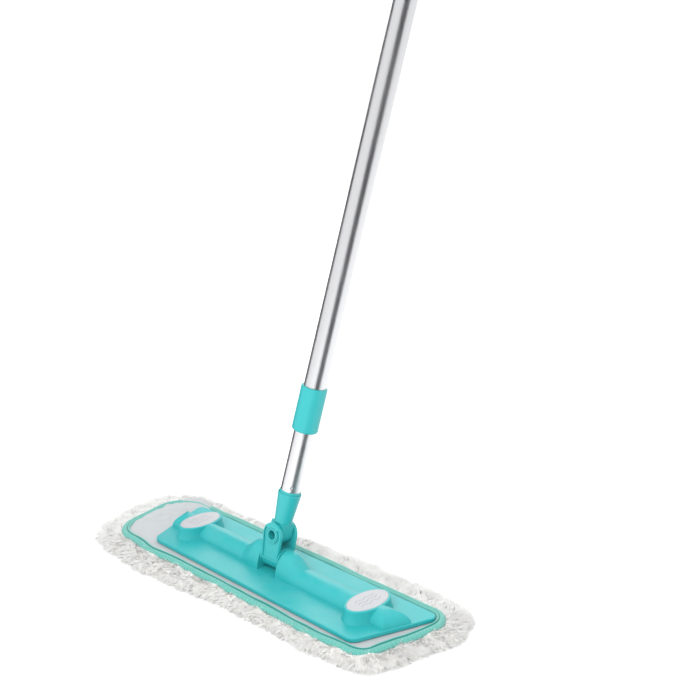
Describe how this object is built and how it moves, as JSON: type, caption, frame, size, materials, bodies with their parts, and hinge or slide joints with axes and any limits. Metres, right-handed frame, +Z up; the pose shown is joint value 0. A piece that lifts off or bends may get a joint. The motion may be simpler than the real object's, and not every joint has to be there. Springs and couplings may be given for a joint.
{
  "type": "flat mop",
  "caption": "Flat mop with a washable pile pad, a trapezoid plate with a two-axis hinge, and a twist-lock telescopic handle.",
  "frame": {"origin": "on the floor, under the middle of the plate and below its long centre line", "axes": "+X along the plate, +Y across it towards its longer edge, +Z up; the handle leans towards +Y and a little towards +X at rest"},
  "size_m": [0.5134, 0.2592, 0.8582],
  "materials": {
    "aqua_plastic": "satin moulded",
    "white_plastic": "satin",
    "dark_plastic": "satin",
    "aluminium_tube": "satin anodised",
    "steel": "plain",
    "pile_fabric": "fluffy microfibre pile",
    "foam": "wadding",
    "backing_fabric": "knitted",
    "binding_tape": "ribbed knit",
    "hook_tape": "hook pile"
  },
  "bodies": {
    "pad": {"pad_pile": "pile_fabric", "pad_foam": "foam", "pad_backing": "backing_fabric", "pad_binding": "binding_tape"},
    "plate": {"mop_plate": "aqua_plastic", "badge_left": "white_plastic", "badge_right": "white_plastic", "hook_strip_front": "hook_tape", "hook_strip_rear": "hook_tape", "pivot_pin": "steel", "pin_keeper_left": "dark_plastic", "pin_keeper_right": "dark_plastic", "keeper_screws": "steel"},
    "yoke": {"yoke": "aqua_plastic", "socket_pin": "aqua_plastic", "socket_pin_cap": "aqua_plastic"},
    "lower_pole": {"handle_socket": "aqua_plastic", "ferrule": "aqua_plastic", "lower_tube": "aluminium_tube", "expander_plug": "dark_plastic", "spindle_clip": "steel"},
    "lock_sleeve": {"expander_sleeve": "dark_plastic"},
    "lock_cone": {"expander_cone": "dark_plastic"},
    "upper_pole": {"upper_tube": "aluminium_tube", "guide_bush": "dark_plastic", "tube_collar": "aqua_plastic", "grip": "aqua_plastic", "end_cap": "aqua_plastic"}
  },
  "joints": [
    {"name": "pad_release", "type": "slide", "parent": "pad", "child": "plate", "axis": [0, 0, 1], "range_m": [0, 0.06]},
    {"name": "yoke_tilt", "type": "hinge", "parent": "plate", "child": "yoke", "pos_m": [0, 0.0015, 0.0305], "axis": [1, 0, 0], "range_deg": [-74.3, 95.7]},
    {"name": "handle_tilt", "type": "hinge", "parent": "yoke", "child": "lower_pole", "pos_m": [0, 0.0067, 0.05801], "axis": [0, 0.9826, -0.1857], "range_deg": [-82.8, 67.2]},
    {"name": "lock_twist", "type": "hinge", "parent": "lower_pole", "child": "lock_sleeve", "pos_m": [0, 0.0067, 0.05801], "axis": [0.1357, 0.1839, 0.9735], "range_deg": [0, 180]},
    {"name": "cone_feed", "type": "slide", "parent": "lock_sleeve", "child": "lock_cone", "axis": [0.1357, 0.1839, 0.9735], "range_m": [0, 0.002]},
    {"name": "handle_extend", "type": "slide", "parent": "lock_sleeve", "child": "upper_pole", "axis": [0.1357, 0.1839, 0.9735], "range_m": [-0.055, 0.42]}
  ],
  "couplings": [
    {"joint": "cone_feed", "follows": "lock_twist", "m_per_rad": 0.00063662}
  ]
}
